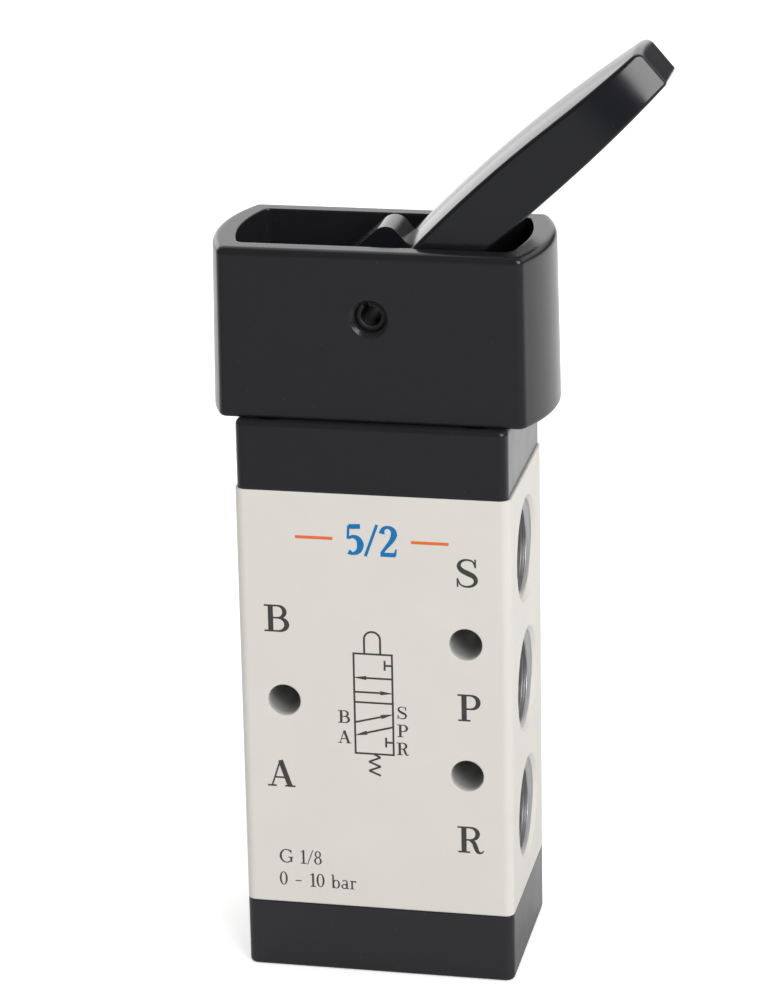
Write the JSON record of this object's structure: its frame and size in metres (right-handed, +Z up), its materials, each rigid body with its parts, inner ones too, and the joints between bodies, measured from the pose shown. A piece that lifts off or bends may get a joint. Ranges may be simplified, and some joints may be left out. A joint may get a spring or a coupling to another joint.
{
  "type": "manual air control valve",
  "caption": "Block-shaped pneumatic valve with threaded ports on two sides, black end caps and a black flip lever that tips over on a pin and pushes a plunger and spool.",
  "frame": {"origin": "centre of the bottom cap's underside", "axes": "+Z up the valve, +X towards the supply and exhaust ports, -Y the printed front"},
  "size_m": [0.0435, 0.018, 0.0913],
  "materials": {
    "body_paint": "satin",
    "black_paint": "satin",
    "lever_paint": "gloss",
    "steel": "satin",
    "black_steel": "satin",
    "brass": "satin",
    "aluminium": "satin",
    "seal_rubber": "matte"
  },
  "bodies": {
    "valve": {"valve_body": "body_paint", "bottom_cap": "black_paint", "bottom_gasket": "seal_rubber", "bottom_cap_screws": "steel", "top_cap": "black_paint", "top_gasket": "seal_rubber", "top_cap_screws": "steel", "lever_housing": "black_paint", "housing_screws": "black_steel", "pivot_pin": "black_steel", "plunger_bush": "brass", "plunger_seal": "seal_rubber", "return_spring": "steel"},
    "spool": {"plunger": "steel", "spool": "aluminium", "spool_seal_1": "seal_rubber", "spool_seal_2": "seal_rubber", "spool_seal_3": "seal_rubber", "spool_seal_4": "seal_rubber", "spool_seal_5": "seal_rubber", "spool_seal_6": "seal_rubber"},
    "lever": {"lever": "lever_paint"}
  },
  "joints": [
    {"name": "lever_pivot", "type": "hinge", "parent": "valve", "child": "lever", "pos_m": [0, 0, 0.0666], "axis": [0, -1, 0], "range_deg": [0, 98.4]},
    {"name": "spool_slide", "type": "slide", "parent": "valve", "child": "spool", "axis": [0, 0, -1], "range_m": [0, 0.0026], "stiffness_N_per_m": 1200, "springref_m": -0.002, "deforming": ["return_spring"]}
  ],
  "couplings": [
    {"joint": "lever_pivot", "follows": "spool_slide", "rad_per_m": 660.53}
  ]
}
